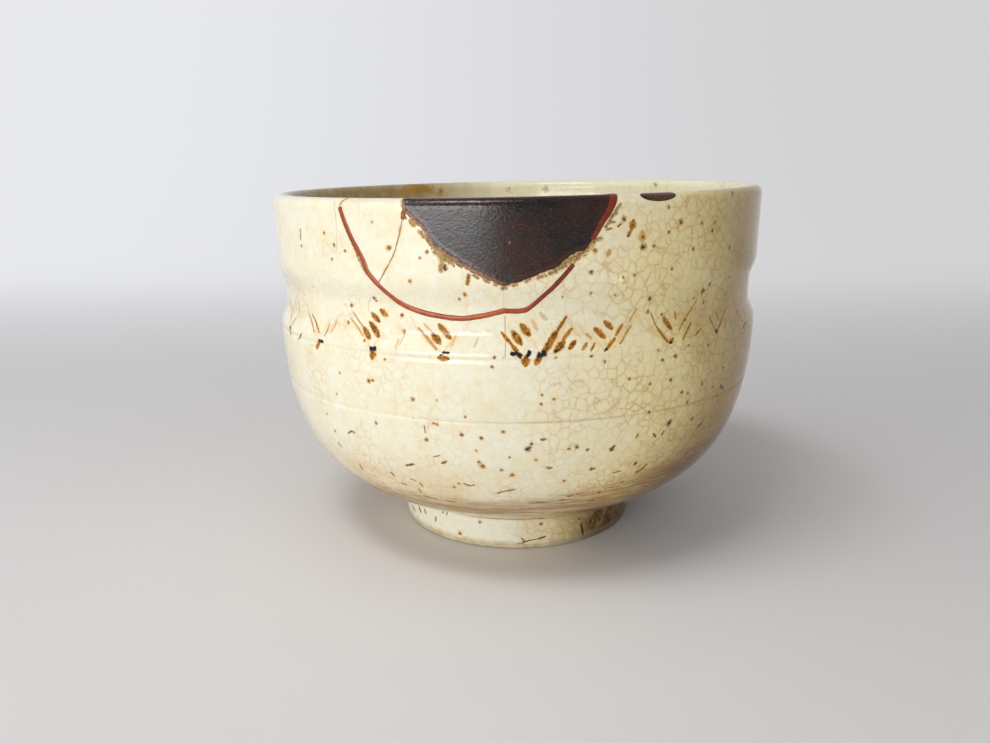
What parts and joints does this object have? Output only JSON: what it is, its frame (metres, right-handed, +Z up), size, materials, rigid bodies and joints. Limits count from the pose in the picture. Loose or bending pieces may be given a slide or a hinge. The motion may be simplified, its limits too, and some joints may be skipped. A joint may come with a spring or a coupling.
{
  "type": "mended tea bowl",
  "caption": "Deep round tea bowl on a turned foot ring, with a waisted band under the rim, broken at the rim and mended with dark and red lacquer.",
  "frame": {"origin": "centre of the foot ring, in the plane that the foot stands on", "axes": "+Z up along the axis the bowl was turned on; the mended break faces -Y, and +X is to its right as the picture sees it"},
  "size_m": [0.1226, 0.1226, 0.0887],
  "materials": {
    "crackled_glaze": "glossy cream glaze with a fine brown crackle, iron specks and brush marks in brown",
    "dark_lacquer": "satin dark brown lacquer with fine brush marks",
    "red_lacquer": "satin brick-red lacquer laid along the breaks"
  },
  "bodies": {
    "root": {"bowl_body": "crackled_glaze", "left_sherd": "crackled_glaze", "middle_sherd": "crackled_glaze", "right_sherd": "crackled_glaze", "dark_fill": "dark_lacquer", "rim_chip_fill": "dark_lacquer", "red_seam": "red_lacquer", "red_seam_upper": "red_lacquer", "red_dab": "red_lacquer"}
  },
  "joints": []
}
